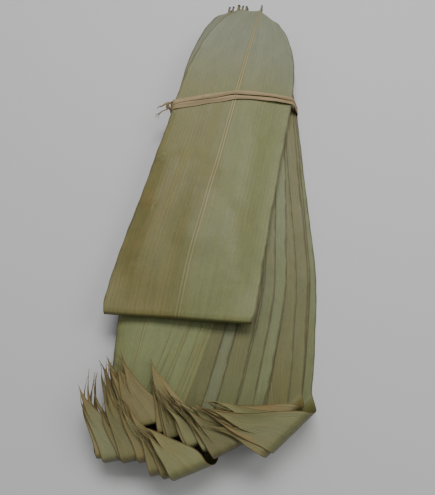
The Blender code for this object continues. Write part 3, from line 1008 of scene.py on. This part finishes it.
def aged(s, f, colour):
    """Dry tips, rust-coloured spots, brown stalks and dark cut ends."""
    tip = s.plus(f.along, s.times(s.minus(f.patches, 0.5), 0.30))
    tip = s.spread(0.90, 1.04, tip)
    colour = s.blend(s.times(tip, 0.6), colour, TIP)
    rust = s.times(s.spread(0.55, 0.72, f.patches), s.spread(0.40, 0.62, f.blotches))
    rust = s.times(rust, s.spread(-0.2, 1.0, f.folded, 0.1, 0.8))
    colour = s.blend(rust, colour, RUST)
    stalk = s.spread(26, 5, s.plus(f.stem, s.times(f.patches, 12.0)))
    colour = s.blend(s.times(stalk, 0.45), colour, STALK)
    return s.blend(s.spread(2.8, 1.4, f.stem), colour, CUT)


def leaf_material(name, near_colours, far_colours, seed, brownness, shade, lean, darkness):
    """Dried leaf, with its colours before and past the fold as (green, brown).

    brownness and shade hold one value before and one past the fold. lean makes the -v half
    browner towards the fold, and darkness is that of the +v margin before the fold, a browned
    margin with painted shadow of the gap below it.
    """
    s = Shader(name)
    f = leaf_fields(s, seed)
    colour = patchy(s, f, near_colours, far_colours, brownness, lean)
    colour = ribbed(s, f, streaked(s, f, colour, shade))
    edge = at_margin(s, f)
    colour = aged(s, f, edged(s, f, colour, edge, darkness))
    rough = s.spread(0.25, 0.75, f.fine_streaks, 0.42, 0.62)
    rough = s.plus(rough, s.times(edge, 0.12))
    fine_veins = s.lines(f.vein_place, FINE_VEINS)
    height = s.plus(s.times(f.veins, 0.5), s.times(fine_veins, 0.12))
    height = s.plus(height, s.times(f.fine_streaks, 0.9))
    height = s.plus(height, s.times(f.blotches, 1.6))
    return s.finish(colour, rough, 0.4, height, strength=0.6, depth=0.35 * MM)


PALE_STRAW = srgb(158, 139, 102)
BROWN_STRAW = srgb(122, 103, 70)
GREEN_STRAW = srgb(122, 122, 84)
STRAW_SPOTS = srgb(104, 80, 48)
STRAW_GROOVES = srgb(84, 64, 38)
STRAW_EDGES = srgb(82, 64, 40)


def straw_material():
    """Dried straw: long fibres from pale to brown, greener in places, dark along the edges."""
    s = Shader("straw_dried")
    uv = s.node("ShaderNodeUVMap", uv_map="blade").outputs[0]
    edge = s.value("edge")
    fibres = s.noise(uv, 1500, 28, 1.3, 4.0, 0.65)
    bands = s.noise(uv, 420, 12, 4.1, 3.0)
    patches = s.noise(uv, 60, 32, 7.7, 3.0)
    blotches = s.noise(uv, 300, 160, 9.2, 3.0)
    colour = s.blend(s.spread(0.3, 0.7, bands), BROWN_STRAW, PALE_STRAW)
    colour = s.blend(s.spread(0.5, 0.75, patches, 0.0, 0.6), colour, GREEN_STRAW)
    colour = s.blend(s.spread(0.55, 0.75, blotches, 0.0, 0.5), colour, STRAW_SPOTS)
    colour = s.blend(s.spread(0.5, 0.28, fibres, 0.0, 0.55), colour, STRAW_GROOVES)
    colour = s.blend(s.spread(0.82, 1.0, edge, 0.0, 0.55), colour, STRAW_EDGES)
    rough = s.spread(0.25, 0.75, fibres, 0.7, 0.5)
    height = s.plus(fibres, s.times(bands, 1.2))
    return s.finish(colour, rough, 0.35, height, strength=0.8, depth=0.3 * MM)


ALBEDO = {
    "olive_blade": (srgb(111, 115, 72), srgb(107, 101, 56)),
    "green_blade": (srgb(113, 119, 77), srgb(108, 107, 62)),
    "dark_blade": (srgb(97, 101, 60), srgb(97, 92, 49)),
    "grey_blade": (srgb(116, 121, 87), srgb(108, 108, 68)),
    "tan_blade": (srgb(109, 110, 67), srgb(113, 103, 58)),
}

slots = {part["node"]: part["material_slot"] for part in frame["record"]["subparts"]}
names = sorted(frame["nodes"])
long_names = [name for name in names if name.startswith("long_leaf")]
cover_names = [name for name in names if name.startswith("cover_leaf")]
blades = {name: Blade(name, i) for i, name in enumerate(long_names + cover_names)}

pile = Pile(*cad_box)
tie_low, tie_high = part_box("tie_strip")
start = pile.cells(np.array(tie_low[:2]))
end = pile.cells(np.array(tie_high[:2]))
pile.top[start[0] : end[0] + 1, start[1] : end[1] + 1] = TIE_ROOM
for name in reversed(long_names):
    blades[name].lay_near(pile)
for name in long_names:
    blades[name].lay_far(pile)
for name in cover_names:
    blades[name].lay_far(pile)
for name in reversed(cover_names):
    blades[name].lay_near(pile)


def tones(name, chance):
    """Brownness and shade before and past the fold, lean and dark margin of one leaf."""
    number = int(name[-2:])
    brownness = (chance.uniform(-0.28, 0.06), chance.uniform(0.1, 0.55))
    shade = (chance.uniform(0.76, 0.95), chance.uniform(0.96, 1.14))
    lean = 0.0
    darkness = 0.75
    if name == "cover_leaf_01":
        brownness, shade, lean = (-0.16, 0.1), (0.98, 1.0), 0.50
    elif name.startswith("cover"):
        brownness, shade = (chance.uniform(0.0, 0.2), 0.1), (chance.uniform(0.88, 0.98), 1.0)
    elif number <= 8:
        brownness = (-0.16, chance.uniform(0.35, 0.75))
        shade = (1.03, chance.uniform(1.0, 1.12))
        darkness = 0.1
    return brownness, shade, lean, darkness


chance = np.random.default_rng(5)
for i, (name, blade) in enumerate(blades.items()):
    piece = blade.build()
    colours = ALBEDO[slots[name]]
    near_colours = ALBEDO["green_blade"] if name in FLUSH else colours
    material = leaf_material(name + "_dried", near_colours, colours, i * 3.1, *tones(name, chance))
    piece.data.materials.append(material)
    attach(piece, "root")
    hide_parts(name)

points, normals = straw_path(blades.values())
straw = straw_material()
strip = strip_along("straw_strip", points, normals, STRAW_HALF, STRAW_CROWN, STRAW_UNDER, 41)
for piece in (strip, *make_knot(points)):
    piece.data.materials.append(straw)
    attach(piece, "root")
    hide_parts("tie_strip")

# Floor, light and camera
low, high = cad_box
bpy.ops.mesh.primitive_plane_add(size=6.0, location=(0, 0, low[2] - 0.0002))
floor = bpy.context.object
floor.name = "floor"
paint = bpy.data.materials.new("floor_paint")
paint.use_nodes = True
paint.node_tree.nodes["Principled BSDF"].inputs["Base Color"].default_value = (0.50, 0.50, 0.50, 1)
paint.node_tree.nodes["Principled BSDF"].inputs["Roughness"].default_value = 0.7
floor.data.materials.append(paint)

world = bpy.data.worlds.new("soft_room")
world.use_nodes = True
world.node_tree.nodes["Background"].inputs[0].default_value = (1.0, 1.0, 1.0, 1)
world.node_tree.nodes["Background"].inputs[1].default_value = 0.36
bpy.context.scene.world = world


def area_light(name, location, target, size, power):
    light = bpy.data.lights.new(name, "AREA")
    light.shape = "RECTANGLE"
    light.size = size[0]
    light.size_y = size[1]
    light.energy = power
    item = bpy.data.objects.new(name, light)
    item.location = location
    aim = np.array(target) - np.array(location)
    item.rotation_euler = Vector(aim).to_track_quat("-Z", "Y").to_euler()
    bpy.context.scene.collection.objects.link(item)


area_light("ceiling", (0.1, 0.7, 1.3), (0, 0, 0), (0.9, 0.5), 18.5)
area_light("window", (0.9, 0.1, 1.0), (0, 0, 0), (0.6, 0.6), 4)

# A focal length of 420 where the longer side of the picture is 495
camera = bpy.data.cameras.new("camera")
camera.lens = 420 * 36 / 495
camera.sensor_width = 36
viewer = bpy.data.objects.new("camera", camera)
cover_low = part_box("cover_leaf_01")[0]
viewer.location = (cover_low[0] + 0.0883, cover_low[1] - 0.0551, 0.349)
viewer.rotation_euler = (math.radians(20), 0, 0)
bpy.context.scene.collection.objects.link(viewer)
bpy.context.scene.camera = viewer
